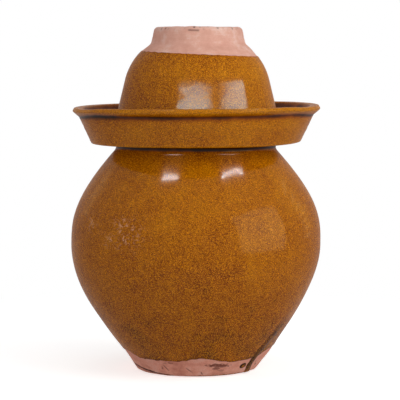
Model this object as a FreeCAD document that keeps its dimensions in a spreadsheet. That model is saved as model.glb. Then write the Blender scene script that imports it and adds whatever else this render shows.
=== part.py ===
import FreeCAD, Part
import math
import os

import Sketcher
from FreeCAD import Vector

# A stoneware pickle crock with a water seal. The jar carries a flared trough round its neck,
# and the lid is an upturned bowl with a foot ring, which stands in the trough over the neck.
# All sizes are in millimetres and degrees. The origin is the middle of the base, with +Z up.

doc = FreeCAD.newDocument("pickle_crock")

# ---------------------------------------------------------------- driving dimensions

SIZES = [
    # jar
    ("belly_radius", 110.0, "outer radius of the jar at its widest"),
    ("belly_height", 111.0, "height of the widest level above the base"),
    ("belly_rise", 21.2, "how far the outline heads straight up from the widest level"),
    ("belly_drop", 40.4, "how far it heads straight down from there"),
    ("shoulder_height", 89.5, "from the widest level up to the underside of the trough"),
    ("shoulder_lean", 41.8, "lean of the shoulder where it meets the trough, from upright"),
    ("foot_radius", 51.1, "radius of the flat that the jar stands on"),
    ("foot_corner", 3.5, "rounding of the foot's worn edge"),
    ("foot_lean", 34.0, "lean of the wall just above the foot, from upright"),
    ("wall_run", 32.0, "how far the wall heads along that lean"),
    ("base_recess", 2.0, "depth of the shallow hollow under the base"),
    ("base_ring", 12.0, "width of the ring left round that hollow"),
    # neck
    ("neck_radius", 62.0, "outer radius of the neck"),
    ("neck_height", 24.0, "height of the neck above the floor of the trough"),
    ("neck_corner", 3.0, "rounding of the neck's top edge"),
    ("neck_step", 3.6, "how far the shoulder stands out from the neck under the trough"),
    # trough
    ("trough_floor", 9.0, "thickness of the trough's floor"),
    ("trough_depth", 22.0, "depth of the trough below its rim"),
    ("trough_wall", 7.0, "thickness of the trough's wall, measured level"),
    ("trough_lean", 24.9, "lean of the trough's wall, from upright"),
    ("trough_corner", 1.8, "rounding of the trough's lower outer edge"),
    ("trough_bed", 6.0, "rounding between the trough's floor and its wall"),
    ("trough_root", 4.0, "rounding between the shoulder and the trough's underside"),
    ("water_gap", 14.8, "width of the channel round the lid, at the trough's floor"),
    # rim bead
    ("bead_height", 7.5, "height of the bead round the rim"),
    ("bead_overhang", 5.9, "how far the bead stands out from the trough's wall"),
    ("bead_face", 2.6, "height of the bead's upright edge"),
    ("bead_corner", 1.5, "rounding of the bead's edges"),
    # lid
    ("neck_clearance", 4.0, "gap between the neck and the lid, all round and on top"),
    ("lid_lip", 8.5, "width of the lid's edge, which stands on the trough's floor"),
    ("lid_corner", 2.0, "rounding of the lid's edge"),
    ("lid_height", 92.2, "height of the lid from its edge to the top of its foot ring"),
    ("lid_lean", 13.65, "lean of the lid's side near its edge, from upright"),
    ("bowl_arc", 52.7, "arc of the lid's outline from its side up to its foot ring"),
    ("ring_radius", 38.2, "outer radius of the lid's foot ring at its top"),
    ("ring_height", 15.1, "height of the foot ring"),
    ("ring_lean", 13.0, "lean of the foot ring's outer side, from upright"),
    ("ring_width", 8.0, "width of the foot ring at its top"),
    ("ring_corner", 4.0, "rounding of the foot ring's edges"),
    ("ring_root", 5.0, "rounding between the foot ring and the bowl"),
    ("ring_recess", 6.5, "depth of the hollow inside the foot ring"),
    ("recess_lean", 20.0, "lean of that hollow's side, from upright"),
    ("recess_corner", 2.5, "rounding between that hollow's side and its floor"),
]

sheet = doc.addObject("Spreadsheet::Sheet", "sizes")
for row, (name, number, meaning) in enumerate(SIZES, start=1):
    sheet.set(f"A{row}", meaning)
    sheet.set(f"B{row}", str(number))
    sheet.setAlias(f"B{row}", name)
doc.recompute()

# ---------------------------------------------------------------- sizes that follow from them

TROUGH_BASE_Z = "(sizes.belly_height + sizes.shoulder_height)"
TROUGH_FLOOR_Z = f"({TROUGH_BASE_Z} + sizes.trough_floor)"
RIM_Z = f"({TROUGH_FLOOR_Z} + sizes.trough_depth)"
NECK_Z = f"({TROUGH_FLOOR_Z} + sizes.neck_height)"
SHOULDER_R = "(sizes.neck_radius + sizes.neck_step)"
SHOULDER_RUN = f"((sizes.belly_radius - {SHOULDER_R}) / tan(sizes.shoulder_lean))"
FOOT_TOP_R = "(sizes.foot_radius + sizes.foot_corner * cos(sizes.foot_lean))"
FOOT_TOP_Z = "(sizes.foot_corner - sizes.foot_corner * sin(sizes.foot_lean))"

SOCKET_R = "(sizes.neck_radius + sizes.neck_clearance)"
SOCKET_Z = "(sizes.neck_height + sizes.neck_clearance)"
LID_EDGE_R = f"({SOCKET_R} + sizes.lid_lip)"
RING_FOOT_Z = "(sizes.lid_height - sizes.ring_height)"
RING_FOOT_R = "(sizes.ring_radius + sizes.ring_height * tan(sizes.ring_lean))"
RECESS_Z = "(sizes.lid_height - sizes.ring_recess)"
RECESS_TOP_R = "(sizes.ring_radius - sizes.ring_width)"
RECESS_FLOOR_R = f"({RECESS_TOP_R} - sizes.ring_recess * tan(sizes.recess_lean))"

CHANNEL_FLOOR_R = f"({LID_EDGE_R} + sizes.water_gap)"
CHANNEL_RIM_R = f"({CHANNEL_FLOOR_R} + sizes.trough_depth * tan(sizes.trough_lean))"
TROUGH_INSET = "(sizes.trough_floor * tan(sizes.trough_lean))"
TROUGH_BASE_R = f"({CHANNEL_FLOOR_R} + sizes.trough_wall - {TROUGH_INSET})"
CREASE_Z = f"({RIM_Z} - sizes.bead_height)"
CREASE_R = f"({TROUGH_BASE_R} + ({CREASE_Z} - {TROUGH_BASE_Z}) * tan(sizes.trough_lean))"
BEAD_R = f"({CREASE_R} + sizes.bead_overhang)"
BEAD_FACE_Z = f"({RIM_Z} - sizes.bead_face)"

X_AXIS = -1
Y_AXIS = -2
START = 1
END = 2
CENTRE = 3
EDGE_TOLERANCE = 0.01


def value(expression):
    """The number that an expression on the sheet gives now."""
    return float(sheet.evalExpression(expression))


# ---------------------------------------------------------------- sketching

def new_sketch(body, name):
    """A sketch in the body's upright plane: its X is the radius and its Y the height."""
    sketch = body.newObject("Sketcher::SketchObject", name)
    plane = next(f for f in body.Origin.OriginFeatures if f.Role == "XZ_Plane")
    sketch.AttachmentSupport = [(plane, "")]
    sketch.MapMode = "FlatFace"
    return sketch


def drive(sketch, expression, kind, *where):
    """Add a dimension whose number is the expression's, an angle's in degrees."""
    number = math.radians(value(expression)) if kind == "Angle" else value(expression)
    index = sketch.addConstraint(Sketcher.Constraint(kind, *where, number))
    sketch.setExpression(f"Constraints[{index}]", expression)


def place(sketch, geometry, end, radius, height):
    """Hold a point of the outline at a radius and a height."""
    if radius == "0":
        sketch.addConstraint(Sketcher.Constraint("PointOnObject", geometry, end, Y_AXIS))
    else:
        drive(sketch, radius, "DistanceX", X_AXIS, START, geometry, end)
    if height == "0":
        sketch.addConstraint(Sketcher.Constraint("PointOnObject", geometry, end, X_AXIS))
    else:
        drive(sketch, height, "DistanceY", X_AXIS, START, geometry, end)


def join(sketch, first, first_end, second, second_end):
    """Let two ends of the outline meet at a corner."""
    sketch.addConstraint(Sketcher.Constraint("Coincident", first, first_end, second, second_end))


def blend(sketch, first, first_end, second, second_end):
    """Let two ends of the outline meet smoothly."""
    sketch.addConstraint(Sketcher.Constraint("Tangent", first, first_end, second, second_end))


def add_line(sketch, start, end):
    return sketch.addGeometry(Part.LineSegment(start, end), False)


def add_arc(sketch, centre, start, end):
    """An arc that runs anticlockwise about its centre from start to end."""
    first = math.atan2(start.y - centre.y, start.x - centre.x)
    last = math.atan2(end.y - centre.y, end.x - centre.x)
    if last < first:
        last += 2 * math.pi
    circle = Part.Circle(centre, Vector(0, 0, 1), centre.distanceToPoint(start))
    return sketch.addGeometry(Part.ArcOfCircle(circle, first, last), False)


def draw_loop(sketch, corners):
    """Draw a closed outline, anticlockwise, from corners of (radius, height, rounding or None)."""
    points = [Vector(value(radius), value(height), 0) for radius, height, _ in corners]
    count = len(corners)
    enters, leaves, arcs = [], [], []
    for i, (_, _, rounding) in enumerate(corners):
        back = (points[i - 1] - points[i]).normalize()
        ahead = (points[(i + 1) % count] - points[i]).normalize()
        if rounding is None:
            enters.append(points[i])
            leaves.append(points[i])
            arcs.append(None)
            continue
        half = back.getAngle(ahead) / 2
        reach = value(rounding) / math.tan(half)
        centre = points[i] + (back + ahead).normalize() * (value(rounding) / math.sin(half))
        enters.append(points[i] + back * reach)
        leaves.append(points[i] + ahead * reach)
        outward = back.cross(ahead).z < 0
        arcs.append((centre, outward))
    lines = [add_line(sketch, leaves[i], enters[(i + 1) % count]) for i in range(count)]
    for i, (radius, height, rounding) in enumerate(corners):
        before, after = lines[i - 1], lines[i]
        if rounding is None:
            join(sketch, before, END, after, START)
            place(sketch, after, START, radius, height)
            continue
        centre, outward = arcs[i]
        if outward:
            arc = add_arc(sketch, centre, enters[i], leaves[i])
            blend(sketch, before, END, arc, START)
            blend(sketch, after, START, arc, END)
        else:
            arc = add_arc(sketch, centre, leaves[i], enters[i])
            blend(sketch, before, END, arc, END)
            blend(sketch, after, START, arc, START)
        drive(sketch, rounding, "Radius", arc)
        corner = sketch.addGeometry(Part.Point(points[i]), True)
        sketch.addConstraint(Sketcher.Constraint("PointOnObject", corner, START, before))
        sketch.addConstraint(Sketcher.Constraint("PointOnObject", corner, START, after))
        place(sketch, corner, START, radius, height)


def add_curve(sketch, guides):
    """A smooth curve that leaves its first guide point for the second and comes to the last
    from the third. Each is (radius, height), and the first is left for a joint to hold.
    """
    points = [Vector(value(radius), value(height), 0) for radius, height in guides]
    spline = Part.BSplineCurve()
    spline.buildFromPolesMultsKnots(points, [4, 4], [0, 1], False, 3)
    curve = sketch.addGeometry(spline, False)
    for i, (point, (radius, height)) in enumerate(zip(points, guides)):
        guide = sketch.addGeometry(Part.Circle(point, Vector(0, 0, 1), 1), True)
        sketch.addConstraint(Sketcher.Constraint("Weight", guide, 1))
        role = "InternalAlignment:Sketcher::BSplineControlPoint"
        sketch.addConstraint(Sketcher.Constraint(role, guide, CENTRE, curve, i))
        if i > 0:
            place(sketch, guide, CENTRE, radius, height)
    return curve


# ---------------------------------------------------------------- features

def turn(body, kind, name, sketch):
    """Turn an outline a full circle about the upright axis: a Revolution adds, a Groove cuts."""
    feature = body.newObject(f"PartDesign::{kind}", name)
    feature.Profile = sketch
    feature.ReferenceAxis = (sketch, ["V_Axis"])
    feature.Angle = 360
    doc.recompute()
    return feature


def round_edges(body, name, radius, rings):
    """Round the circular edges that lie at the given radii and heights."""
    base = body.Tip
    names = []
    for ring_radius, ring_height in rings:
        for i, edge in enumerate(base.Shape.Edges, start=1):
            if not isinstance(edge.Curve, Part.Circle):
                continue
            wider = edge.Curve.Radius - value(ring_radius)
            higher = edge.Curve.Center.z - value(ring_height)
            if math.hypot(wider, higher) < EDGE_TOLERANCE:
                names.append(f"Edge{i}")
    if len(names) != len(rings):
        raise RuntimeError(f"{name}: {len(names)} edges found of {len(rings)}")
    fillet = body.newObject("PartDesign::Fillet", name)
    fillet.Base = (base, names)
    fillet.Radius = value(radius)
    fillet.setExpression("Radius", radius)
    doc.recompute()
    return fillet


# ---------------------------------------------------------------- jar

def draw_jar(sketch):
    """The jar below the trough: foot, wall, belly and shoulder, each running into the next."""
    foot_end = Vector(value("sizes.foot_radius"), 0, 0)
    foot_centre = foot_end + Vector(0, value("sizes.foot_corner"), 0)
    foot_top = Vector(value(FOOT_TOP_R), value(FOOT_TOP_Z), 0)
    top = Vector(value(SHOULDER_R), value(TROUGH_BASE_Z), 0)
    on_axis = Vector(0, top.y, 0)
    base_line = add_line(sketch, Vector(0, 0, 0), foot_end)
    foot_curve = add_arc(sketch, foot_centre, foot_end, foot_top)
    wall_curve = add_curve(sketch, [
        (FOOT_TOP_R, FOOT_TOP_Z),
        (f"{FOOT_TOP_R} + sizes.wall_run * sin(sizes.foot_lean)",
         f"{FOOT_TOP_Z} + sizes.wall_run * cos(sizes.foot_lean)"),
        ("sizes.belly_radius", "sizes.belly_height - sizes.belly_drop"),
        ("sizes.belly_radius", "sizes.belly_height"),
    ])
    shoulder_curve = add_curve(sketch, [
        ("sizes.belly_radius", "sizes.belly_height"),
        ("sizes.belly_radius", "sizes.belly_height + sizes.belly_rise"),
        ("sizes.belly_radius", f"{TROUGH_BASE_Z} - {SHOULDER_RUN}"),
        (SHOULDER_R, TROUGH_BASE_Z),
    ])
    top_line = add_line(sketch, top, on_axis)
    axis_line = add_line(sketch, on_axis, Vector(0, 0, 0))

    place(sketch, base_line, START, "0", "0")
    place(sketch, base_line, END, "sizes.foot_radius", "0")
    blend(sketch, base_line, END, foot_curve, START)
    drive(sketch, "sizes.foot_corner", "Radius", foot_curve)
    drive(sketch, FOOT_TOP_R, "DistanceX", X_AXIS, START, foot_curve, END)
    join(sketch, foot_curve, END, wall_curve, START)
    join(sketch, wall_curve, END, shoulder_curve, START)
    join(sketch, shoulder_curve, END, top_line, START)
    place(sketch, top_line, END, "0", TROUGH_BASE_Z)
    join(sketch, top_line, END, axis_line, START)
    join(sketch, axis_line, END, base_line, START)


def draw_trough(sketch):
    """The trough with its rim bead, and the neck that rises inside it."""
    draw_loop(sketch, [
        ("0", TROUGH_BASE_Z, None),
        (TROUGH_BASE_R, TROUGH_BASE_Z, "sizes.trough_corner"),
        (CREASE_R, CREASE_Z, None),
        (BEAD_R, BEAD_FACE_Z, "sizes.bead_corner"),
        (BEAD_R, RIM_Z, "sizes.bead_corner"),
        (CHANNEL_RIM_R, RIM_Z, "sizes.bead_corner"),
        (CHANNEL_FLOOR_R, TROUGH_FLOOR_Z, "sizes.trough_bed"),
        ("sizes.neck_radius", TROUGH_FLOOR_Z, None),
        ("sizes.neck_radius", NECK_Z, "sizes.neck_corner"),
        ("0", NECK_Z, None),
    ])


def draw_base_hollow(sketch):
    """The shallow hollow under the base, with a side that slopes at 45 degrees."""
    draw_loop(sketch, [
        ("0", "0", None),
        ("sizes.foot_radius - sizes.base_ring", "0", None),
        ("sizes.foot_radius - sizes.base_ring - sizes.base_recess", "sizes.base_recess", None),
        ("0", "sizes.base_recess", None),
    ])


def make_crock():
    """The jar, its trough and its neck, thrown as one piece."""
    body = doc.addObject("PartDesign::Body", "crock")
    body.Label = "crock"
    jar = new_sketch(body, "jar_outline")
    draw_jar(jar)
    turn(body, "Revolution", "jar", jar)
    trough = new_sketch(body, "trough_outline")
    draw_trough(trough)
    turn(body, "Revolution", "trough", trough)
    round_edges(body, "trough_root_rounding", "sizes.trough_root", [(SHOULDER_R, TROUGH_BASE_Z)])
    hollow = new_sketch(body, "base_hollow_outline")
    draw_base_hollow(hollow)
    turn(body, "Groove", "base_hollow", hollow)
    body.Placement.Base = Vector(0, 0, 0)
    return body


# ---------------------------------------------------------------- lid

def draw_bowl(sketch):
    """The lid's outside below its foot ring: a leaning side that runs into a round shoulder."""
    bowl_arc = value("sizes.bowl_arc")
    edge = Vector(value(LID_EDGE_R), 0, 0)
    lean = math.radians(value("sizes.lid_lean"))
    up_side = Vector(-math.sin(lean), math.cos(lean), 0)
    outward = Vector(math.cos(lean), math.sin(lean), 0)
    top = Vector(value(RING_FOOT_R), value(RING_FOOT_Z), 0)
    inset = bowl_arc + (top - edge).dot(outward)
    rise = (top - edge).dot(up_side) - math.sqrt(bowl_arc ** 2 - inset ** 2)
    side_top = edge + up_side * rise
    centre = side_top - outward * bowl_arc
    on_axis = Vector(0, top.y, 0)

    edge_line = add_line(sketch, Vector(0, 0, 0), edge)
    side_line = add_line(sketch, edge, side_top)
    bowl_curve = add_arc(sketch, centre, side_top, top)
    top_line = add_line(sketch, top, on_axis)
    axis_line = add_line(sketch, on_axis, Vector(0, 0, 0))

    place(sketch, edge_line, START, "0", "0")
    place(sketch, edge_line, END, LID_EDGE_R, "0")
    join(sketch, edge_line, END, side_line, START)
    drive(sketch, "90 + sizes.lid_lean", "Angle", side_line)
    blend(sketch, side_line, END, bowl_curve, START)
    drive(sketch, "sizes.bowl_arc", "Radius", bowl_curve)
    join(sketch, bowl_curve, END, top_line, START)
    place(sketch, bowl_curve, END, RING_FOOT_R, RING_FOOT_Z)
    place(sketch, top_line, END, "0", RING_FOOT_Z)
    join(sketch, top_line, END, axis_line, START)
    join(sketch, axis_line, END, edge_line, START)


def draw_ring(sketch):
    """The lid's foot ring, with the hollow inside it."""
    draw_loop(sketch, [
        ("0", RING_FOOT_Z, None),
        (RING_FOOT_R, RING_FOOT_Z, None),
        ("sizes.ring_radius", "sizes.lid_height", "sizes.ring_corner"),
        (RECESS_TOP_R, "sizes.lid_height", "sizes.ring_corner"),
        (RECESS_FLOOR_R, RECESS_Z, "sizes.recess_corner"),
        ("0", RECESS_Z, None),
    ])


def draw_socket(sketch):
    """The room inside the lid that the neck stands in."""
    draw_loop(sketch, [
        ("0", "0", None),
        (SOCKET_R, "0", None),
        (SOCKET_R, SOCKET_Z, "sizes.neck_corner"),
        ("0", SOCKET_Z, None),
    ])


def make_lid():
    """The bowl-shaped lid, standing on the floor of the trough."""
    body = doc.addObject("PartDesign::Body", "lid")
    body.Label = "lid"
    bowl = new_sketch(body, "bowl_outline")
    draw_bowl(bowl)
    turn(body, "Revolution", "bowl", bowl)
    ring = new_sketch(body, "ring_outline")
    draw_ring(ring)
    turn(body, "Revolution", "foot_ring", ring)
    round_edges(body, "ring_root_rounding", "sizes.ring_root", [(RING_FOOT_R, RING_FOOT_Z)])
    socket = new_sketch(body, "socket_outline")
    draw_socket(socket)
    turn(body, "Groove", "socket", socket)
    round_edges(body, "edge_rounding", "sizes.lid_corner", [(LID_EDGE_R, "0"), (SOCKET_R, "0")])
    body.Placement.Base = Vector(0, 0, value(TROUGH_FLOOR_Z))
    body.setExpression("Placement.Base.z", TROUGH_FLOOR_Z)
    return body


# ---------------------------------------------------------------- check and write

parts = [make_crock(), make_lid()]
doc.recompute()

for item in doc.Objects:
    if "Invalid" in item.State or "Error" in item.State:
        raise RuntimeError(f"{item.Name} failed: {item.State}")
for sketch in doc.findObjects("Sketcher::SketchObject"):
    if sketch.solve() != 0 or not sketch.FullyConstrained:
        raise RuntimeError(f"{sketch.Name} isn't held by its dimensions")
for part in parts:
    if part.Shape.isNull() or not part.Shape.isValid() or len(part.Shape.Solids) != 1:
        raise RuntimeError(f"{part.Label} isn't one valid solid")

os.makedirs("parts", exist_ok=True)
for part in parts:
    part.Shape.exportStep(f"parts/{part.Label}.step")
    box = part.Shape.optimalBoundingBox(False)
    print(f"{part.Label}: {part.Shape.Volume / 1000:.0f} ml, {box.XLength:.1f} mm wide, "
          f"{box.ZMin:.1f} to {box.ZMax:.1f} mm high")
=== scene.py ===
import math

import bpy
import numpy as np
from mathutils import Matrix, Vector


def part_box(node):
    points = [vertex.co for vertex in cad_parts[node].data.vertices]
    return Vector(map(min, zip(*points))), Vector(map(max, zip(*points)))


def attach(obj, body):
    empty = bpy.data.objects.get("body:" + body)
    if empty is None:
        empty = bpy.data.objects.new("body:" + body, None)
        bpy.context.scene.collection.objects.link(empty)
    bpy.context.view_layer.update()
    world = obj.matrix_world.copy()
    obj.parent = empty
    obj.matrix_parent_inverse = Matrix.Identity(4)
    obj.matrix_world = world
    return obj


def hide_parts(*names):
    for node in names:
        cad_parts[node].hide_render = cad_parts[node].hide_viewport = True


# The looks of the pickle crock: two glazed skins and two of bare clay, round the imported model.
# Outlines are in millimetres, as (radius, height), and are turned into metres once, in lathe().
# Angles round the axis are in degrees, 0 at the front (-Y) and positive towards +X.

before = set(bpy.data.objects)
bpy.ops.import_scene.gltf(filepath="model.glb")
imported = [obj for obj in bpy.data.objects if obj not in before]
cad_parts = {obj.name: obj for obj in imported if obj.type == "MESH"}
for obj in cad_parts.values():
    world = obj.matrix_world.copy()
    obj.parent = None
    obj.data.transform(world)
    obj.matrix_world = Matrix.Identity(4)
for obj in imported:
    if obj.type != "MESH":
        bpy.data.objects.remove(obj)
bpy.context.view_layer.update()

MM = 0.001

# ---------------------------------------------------------------- sizes, as in the part's source

crock_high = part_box("crock")[1] / MM
lid_low, lid_high = (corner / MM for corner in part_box("lid"))

BELLY_R = crock_high.x
BELLY_Z = 111.0
BELLY_RISE = 21.2
BELLY_DROP = 40.4
SHOULDER_LEAN = math.radians(41.8)
FOOT_R = 51.1
FOOT_CORNER = 3.5
FOOT_LEAN = math.radians(34)
WALL_RUN = 32.0
BASE_RECESS = 2.0
BASE_RING = 12.0
BASE_CORNER = 0.8
BASE_FLOOR_R = FOOT_R - BASE_RING - BASE_RECESS

TROUGH_BASE_Z = 200.5
TROUGH_FLOOR_Z = lid_low.z
TROUGH_DEPTH = 22.0
RIM_Z = TROUGH_FLOOR_Z + TROUGH_DEPTH
TROUGH_LEAN = math.radians(24.9)
SHOULDER_R = 65.6
TROUGH_BASE_R = 92.1
CHANNEL_FLOOR_R = 89.3
CHANNEL_RIM_R = 99.5
TROUGH_CORNER = 1.8
TROUGH_BED = 6.0
TROUGH_ROOT = 4.0
BEAD_HEIGHT = 7.5
BEAD_OUT = 5.9
BEAD_FACE = 2.6
CREASE_CORNER = 1.3
CREASE_Z = RIM_Z - BEAD_HEIGHT
CREASE_R = TROUGH_BASE_R + (CREASE_Z - TROUGH_BASE_Z) * math.tan(TROUGH_LEAN)
BEAD_R = CREASE_R + BEAD_OUT
BEAD_FACE_Z = RIM_Z - BEAD_FACE
BEAD_CORNER = 1.5
FLAT_LOW = (BEAD_R, RIM_Z - 1.5)  # a narrow flat takes the bead's outer edge off
FLAT_HIGH = (BEAD_R - 1.36, RIM_Z + 0.35)
FLAT_CORNER = 0.35
NECK_R = 62.0
NECK_Z = crock_high.z
NECK_CORNER = 3.0

NECK_CLEARANCE = 4.0
LID_LIP = 8.5
SOCKET_R = NECK_R + NECK_CLEARANCE
SOCKET_Z = NECK_Z + NECK_CLEARANCE
LID_EDGE_R = SOCKET_R + LID_LIP
LID_LEAN = math.radians(13.65)
LID_CORNER = 2.0
BOWL_ARC = 52.7
RING_TOP_Z = lid_high.z
RING_R = 38.2
RING_LEAN = math.radians(13)
RING_HEIGHT = 15.1
RING_WIDTH = 8.0
RING_FOOT_Z = RING_TOP_Z - RING_HEIGHT
RING_FOOT_R = RING_R + RING_HEIGHT * math.tan(RING_LEAN)
RING_CORNER = 4.0
RING_ROOT = 5.0
RECESS_DEPTH = 6.5
RECESS_LEAN = math.radians(20)
RECESS_TOP_R = RING_R - RING_WIDTH
RECESS_Z = RING_TOP_Z - RECESS_DEPTH
RECESS_FLOOR_R = RECESS_TOP_R - RECESS_DEPTH * math.tan(RECESS_LEAN)
RECESS_CORNER = 2.5

GLAZE_PROUD = 0.15  # the glaze stands this far out from the solid
CLAY_BACK = -0.15  # the bare clay stands this far back from it
SUNK = 1.3  # a skin dives this deep where the other one covers it

# ---------------------------------------------------------------- outlines

DENSE = 0.1  # between the points of an outline
CURVE_POINTS = 1200


def line(start, end):
    """Points close together along a straight run."""
    start, end = np.array(start, float), np.array(end, float)
    count = max(2, int(np.hypot(*(end - start)) / DENSE) + 1)
    return start + (end - start) * np.linspace(0, 1, count)[:, None]


def curve(first, second, third, last):
    """Points along a smooth curve with two guides."""
    points = np.array([first, second, third, last], float)
    t = np.linspace(0, 1, CURVE_POINTS)[:, None]
    u = 1 - t
    return (u ** 3 * points[0] + 3 * u * u * t * points[1]
            + 3 * u * t * t * points[2] + t ** 3 * points[3])


def arc(centre, radius, start, end):
    """Points along an arc between two angles in radians."""
    count = max(2, int(abs(end - start) * radius / DENSE) + 1)
    turn = np.linspace(start, end, count)
    return np.array(centre) + radius * np.stack([np.cos(turn), np.sin(turn)], 1)


def lengths(points):
    """How far along the outline each point lies."""
    return np.r_[0, np.cumsum(np.hypot(*np.diff(points, axis=0).T))]


def connect(first, *rest):
    """Join runs end to end. Each further run follows the rounding between it and the last one."""
    whole = first
    for radius, run in zip(rest[::2], rest[1::2]):
        if radius == 0:
            whole = np.r_[whole, run[1:]]
            continue
        corner = run[0]
        back = (whole[-3] - corner) / np.hypot(*(whole[-3] - corner))
        ahead = (run[2] - corner) / np.hypot(*(run[2] - corner))
        half = math.acos(np.clip(back @ ahead, -1, 1)) / 2
        reach = radius / math.tan(half)
        along, after = lengths(whole), lengths(run)
        kept = whole[along < along[-1] - reach]
        run = run[after > reach]
        between = (back + ahead) / np.hypot(*(back + ahead))
        centre = corner + between * radius / math.sin(half)
        start = math.atan2(*(corner + back * reach - centre)[::-1])
        end = math.atan2(*(corner + ahead * reach - centre)[::-1])
        end = start + (end - start + math.pi) % (2 * math.pi) - math.pi
        whole = np.r_[kept, arc(centre, radius, start, end), run]
    return whole


def smooth(values, reach):
    """Average a list of values over a window of so many of them."""
    window = np.hanning(reach * 2 + 1)
    return np.convolve(np.pad(values, reach, "edge"), window / window.sum(), "valid")


ROW_TURN = 0.24  # radians that the outline may turn between two rows


def rows(outline, widest, finest, zones=()):
    """Thin an outline out to rows: close together where it bends, and within the zones given
    as (from, to, spacing) by length along it."""
    s = lengths(outline)
    even = np.arange(0, s[-1], DENSE)
    points = np.stack([np.interp(even, s, outline[:, k]) for k in (0, 1)], 1)
    heading = np.unwrap(np.arctan2(*np.gradient(points, axis=0).T[::-1]))
    bend = np.abs(np.gradient(heading, DENSE))
    spacing = np.clip(ROW_TURN / np.maximum(smooth(bend, 8), 1e-6), finest, widest)
    for start, end, wanted in zones:
        inside = (even >= start) & (even <= end)
        spacing[inside] = np.minimum(spacing[inside], wanted)
    density = smooth(1 / spacing, 20)
    total = np.r_[0, np.cumsum(density[1:] + density[:-1]) * DENSE / 2]
    count = int(math.ceil(total[-1])) + 1
    at = np.interp(np.linspace(0, total[-1], count), total, even)
    thin = np.stack([np.interp(at, s, outline[:, k]) for k in (0, 1)], 1)
    thin[0], thin[-1] = outline[0], outline[-1]
    at[-1] = s[-1]
    return thin, at


# ---------------------------------------------------------------- uneven surfaces

LEVEL = (1e9, 2e9)  # wavelengths for waves that go round and stay the same along the outline


def fade(start, end, x):
    """0 before start, 1 after end, and smooth between them."""
    t = np.clip((x - start) / (end - start), 0, 1)
    return t * t * (3 - 2 * t)


def bump(x, middle, width):
    """1 at the middle and next to nothing two widths away."""
    return np.exp(-((x - middle) / width) ** 2)


def angle_from(theta, middle):
    """Degrees from the middle, the short way round."""
    return (theta - middle + 180) % 360 - 180


def waves(seed, theta, s, size, turns, wavelengths, count=14):
    """A sum of slow waves: turns is how many go round the axis, wavelengths is along the outline."""
    draw = np.random.default_rng(seed)
    total = 0
    for _ in range(count):
        n = int(draw.integers(turns[0], turns[1] + 1))
        k = 2 * math.pi / draw.uniform(*wavelengths) * draw.choice([-1, 1])
        total = total + np.sin(np.radians(theta) * n + k * s + draw.uniform(0, 2 * math.pi))
    return size * total / math.sqrt(count / 2)


EDGE_ROUND = 1.1  # how far in from its edge the glaze reaches full height
EDGE_ROLL = 2.2  # how far in its roll dies away
EDGE_DIVE = 1.2  # how steeply it dives into the clay


def glaze_height(inside, roll):
    """Height of the glaze over the solid at a distance inside its edge: it ends in a rounded
    roll, a little thicker than the rest, and dives into the clay outside."""
    edge = np.sqrt(np.clip(1 - (1 - np.clip(inside / EDGE_ROUND, 0, 1)) ** 2, 0, 1))
    above = (GLAZE_PROUD - CLAY_BACK) * edge + roll * edge * np.exp(-np.clip(inside, 0, None) / EDGE_ROLL)
    return np.where(inside > 0, above, np.maximum(-SUNK, inside * EDGE_DIVE)) + CLAY_BACK


def either(first, second, blend):
    """The larger of two distances, run together smoothly."""
    gap = np.clip(0.5 + 0.5 * (first - second) / blend, 0, 1)
    return second + (first - second) * gap + blend * gap * (1 - gap) / 2


# ---------------------------------------------------------------- meshes

UV_MARGIN = 0.004
HIDDEN_SHARE = 0.12  # of the texture's height that a hidden row gets


def by_point(field):
    """Values by angle and row, put in the order of the mesh's points. Each end is one point."""
    between = np.swapaxes(field[:, 1:-1], 0, 1).reshape(-1, *field.shape[2:])
    return np.concatenate([field[:, 0].mean(0)[None], between, field[:, -1].mean(0)[None]])


def skin_faces(segments, last):
    """Squares between the rows, and a fan of triangles round the point at each end."""
    here = np.arange(segments)
    there = (here + 1) % segments

    def ring(row, place):
        return 1 + (row - 1) * segments + place

    squares = np.concatenate([
        np.stack([ring(j, here), ring(j, there), ring(j + 1, there), ring(j + 1, here)], 1)
        for j in range(1, last - 1)])
    start_fan = np.stack([np.zeros(segments, int), ring(1, there), ring(1, here)], 1)
    end_fan = np.stack([ring(last - 1, here), ring(last - 1, there), np.full(segments, ring(last, 0))], 1)
    return squares.tolist() + start_fan.tolist() + end_fan.tolist()


def texture_places(segments, at, hidden):
    """Where the corners of those faces lie in the texture: across it is round the axis, and up
    it is along the outline."""
    weight = np.where(hidden, HIDDEN_SHARE, 1.0)
    v = np.r_[0, np.cumsum((weight[1:] + weight[:-1]) / 2 * np.diff(at))]
    v = UV_MARGIN + (1 - 2 * UV_MARGIN) * v / v[-1]
    u = UV_MARGIN + (1 - 2 * UV_MARGIN) * np.arange(segments + 1) / segments
    left, right, middle = u[:-1], u[1:], (u[:-1] + u[1:]) / 2

    def corners(*places):
        pairs = [np.stack([across, np.full(segments, up)], 1) for across, up in places]
        return np.stack(pairs, 1).reshape(-1, 2)

    squares = [corners((left, low), (right, low), (right, high), (left, high))
               for low, high in zip(v[1:-2], v[2:-1])]
    start_fan = corners((middle, v[0]), (right, v[1]), (left, v[1]))
    end_fan = corners((left, v[-2]), (right, v[-2]), (middle, v[-1]))
    return np.concatenate([*squares, start_fan, end_fan])


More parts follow.
